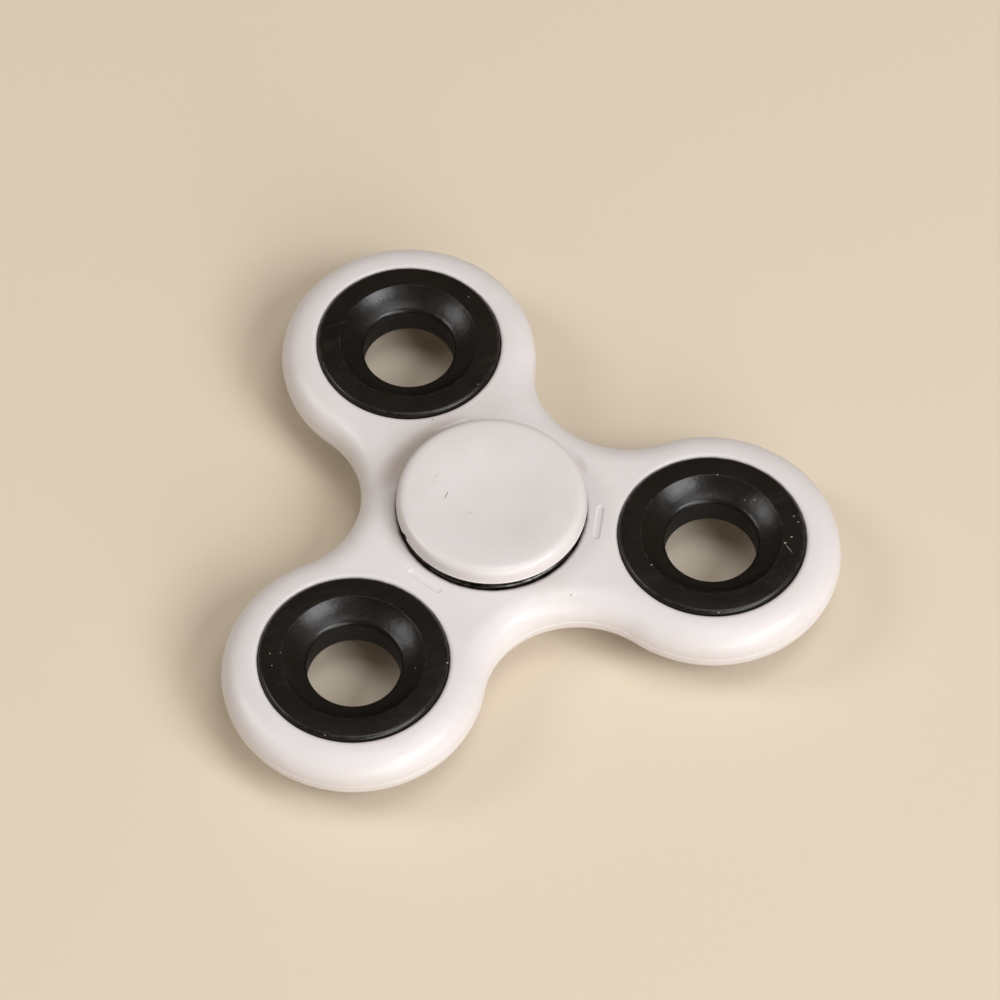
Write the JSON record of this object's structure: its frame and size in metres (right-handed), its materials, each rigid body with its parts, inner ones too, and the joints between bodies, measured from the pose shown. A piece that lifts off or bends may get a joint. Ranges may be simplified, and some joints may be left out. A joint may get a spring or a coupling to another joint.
{
  "type": "fidget spinner",
  "caption": "Three-lobed hand spinner: moulded white frame with black dished weight rings, turning on a ball bearing between two dished finger caps.",
  "frame": {"origin": "centre of the bearing, midway between the two finger caps", "axes": "+Z along the spin axis, +Y through the centre of lobe 1, the other lobes 120 degrees either side"},
  "size_m": [0.0752, 0.0692, 0.013],
  "materials": {
    "white_abs": "satin moulded",
    "cap_abs": "satin moulded",
    "black_enamel": "gloss black enamel over steel",
    "bearing_steel": "ground",
    "ball_steel": "polished",
    "cage_steel": "pressed sheet",
    "shield_steel": "pressed sheet",
    "spring_steel": "drawn wire"
  },
  "bodies": {
    "hub": {"finger_cap_upper": "cap_abs", "finger_cap_lower": "cap_abs", "bearing_inner_ring": "bearing_steel"},
    "spinner": {"body_frame": "white_abs", "weight_ring_1": "black_enamel", "weight_ring_2": "black_enamel", "weight_ring_3": "black_enamel", "bearing_outer_ring": "bearing_steel", "bearing_shield_upper": "shield_steel", "bearing_shield_lower": "shield_steel", "shield_clip_upper": "spring_steel", "shield_clip_lower": "spring_steel"},
    "cage": {"cage_upper": "cage_steel", "cage_lower": "cage_steel", "cage_rivet_1": "cage_steel", "cage_rivet_2": "cage_steel", "cage_rivet_3": "cage_steel", "cage_rivet_4": "cage_steel", "cage_rivet_5": "cage_steel", "cage_rivet_6": "cage_steel", "cage_rivet_7": "cage_steel"},
    "ball_1": {"bearing_ball_1": "ball_steel"},
    "ball_2": {"bearing_ball_2": "ball_steel"},
    "ball_3": {"bearing_ball_3": "ball_steel"},
    "ball_4": {"bearing_ball_4": "ball_steel"},
    "ball_5": {"bearing_ball_5": "ball_steel"},
    "ball_6": {"bearing_ball_6": "ball_steel"},
    "ball_7": {"bearing_ball_7": "ball_steel"}
  },
  "joints": [
    {"name": "spin", "type": "hinge", "parent": "hub", "child": "spinner", "pos_m": [0, 0, 0], "axis": [0, 0, 1], "continuous": true},
    {"name": "cage_turn", "type": "hinge", "parent": "hub", "child": "cage", "pos_m": [0, 0, 0], "axis": [0, 0, 1], "continuous": true},
    {"name": "ball_1_roll", "type": "hinge", "parent": "cage", "child": "ball_1", "pos_m": [0.0075, 0, 0], "axis": [0, 0, 1], "continuous": true},
    {"name": "ball_2_roll", "type": "hinge", "parent": "cage", "child": "ball_2", "pos_m": [0.00468, 0.00586, 0], "axis": [0, 0, 1], "continuous": true},
    {"name": "ball_3_roll", "type": "hinge", "parent": "cage", "child": "ball_3", "pos_m": [-0.00167, 0.00731, 0], "axis": [0, 0, 1], "continuous": true},
    {"name": "ball_4_roll", "type": "hinge", "parent": "cage", "child": "ball_4", "pos_m": [-0.00676, 0.00325, 0], "axis": [0, 0, 1], "continuous": true},
    {"name": "ball_5_roll", "type": "hinge", "parent": "cage", "child": "ball_5", "pos_m": [-0.00676, -0.00325, 0], "axis": [0, 0, 1], "continuous": true},
    {"name": "ball_6_roll", "type": "hinge", "parent": "cage", "child": "ball_6", "pos_m": [-0.00167, -0.00731, 0], "axis": [0, 0, 1], "continuous": true},
    {"name": "ball_7_roll", "type": "hinge", "parent": "cage", "child": "ball_7", "pos_m": [0.00468, -0.00586, 0], "axis": [0, 0, 1], "continuous": true}
  ],
  "couplings": [
    {"joint": "cage_turn", "follows": "spin", "ratio": 0.6323},
    {"joint": "ball_1_roll", "follows": "spin", "ratio": 1.7573},
    {"joint": "ball_2_roll", "follows": "spin", "ratio": 1.7573},
    {"joint": "ball_3_roll", "follows": "spin", "ratio": 1.7573},
    {"joint": "ball_4_roll", "follows": "spin", "ratio": 1.7573},
    {"joint": "ball_5_roll", "follows": "spin", "ratio": 1.7573},
    {"joint": "ball_6_roll", "follows": "spin", "ratio": 1.7573},
    {"joint": "ball_7_roll", "follows": "spin", "ratio": 1.7573}
  ]
}
